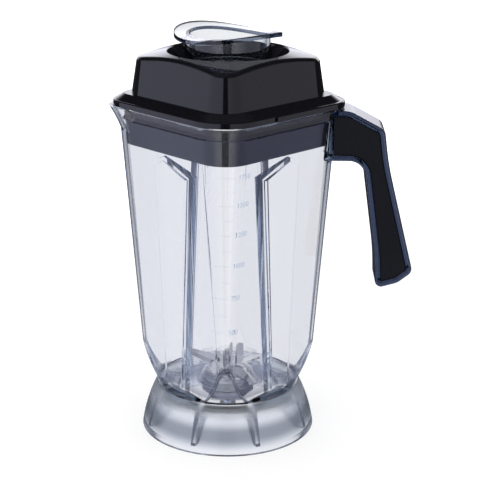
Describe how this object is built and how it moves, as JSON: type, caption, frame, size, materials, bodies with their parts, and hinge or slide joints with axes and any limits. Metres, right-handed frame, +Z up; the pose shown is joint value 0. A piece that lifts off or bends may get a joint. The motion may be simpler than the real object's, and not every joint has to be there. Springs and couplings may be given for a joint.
{
  "type": "blender jar",
  "caption": "Clear square blender jar with fluted walls, round foot, open handle, push-in lid with a filler cap, and a bladed rotor on sealed bearings with a splined drive.",
  "frame": {"origin": "on the jar's axis, in the plane of the foot's rim", "axes": "+Z up along the jar's axis, +X towards the handle, the spout at -X"},
  "size_m": [0.2232, 0.162, 0.3063],
  "materials": {
    "clear_jar": "clear, polished",
    "clear_cap": "clear, polished",
    "grip_black": "fine matte grain",
    "lid_black": "glossy moulded rubber",
    "blade_steel": "ground stainless steel",
    "bright_steel": "turned stainless steel",
    "bearing_steel": "ground bearing steel",
    "seal_rubber": "matte rubber",
    "drive_black": "blackened steel"
  },
  "bodies": {
    "jar": {"jar": "clear_jar", "near_grip": "grip_black", "far_grip": "grip_black", "bearing_housing": "bright_steel", "housing_gasket": "seal_rubber", "shaft_seal": "seal_rubber", "upper_bearing_outer": "bearing_steel", "lower_bearing_outer": "bearing_steel", "retaining_ring": "bearing_steel", "nut_washer": "bright_steel", "retaining_nut": "bright_steel"},
    "rotor": {"blade_nut": "bright_steel", "blade_washer": "bright_steel", "upper_blade": "blade_steel", "blade_shim": "bright_steel", "lower_blade": "blade_steel", "blade_sleeve": "bright_steel", "blade_shaft": "bright_steel", "upper_bearing_inner": "bearing_steel", "lower_bearing_inner": "bearing_steel", "bearing_spacer": "bearing_steel", "drive_socket": "drive_black"},
    "lid": {"lid": "lid_black"},
    "cap": {"filler_cap": "clear_cap"}
  },
  "joints": [
    {"name": "blade_spin", "type": "hinge", "parent": "jar", "child": "rotor", "pos_m": [0, 0, 0.035], "axis": [0, 0, 1], "continuous": true},
    {"name": "lid_lift", "type": "slide", "parent": "jar", "child": "lid", "axis": [0, 0, 1], "range_m": [0, 0.03]},
    {"name": "cap_lift", "type": "slide", "parent": "lid", "child": "cap", "axis": [0, 0, 1], "range_m": [0, 0.026]}
  ]
}
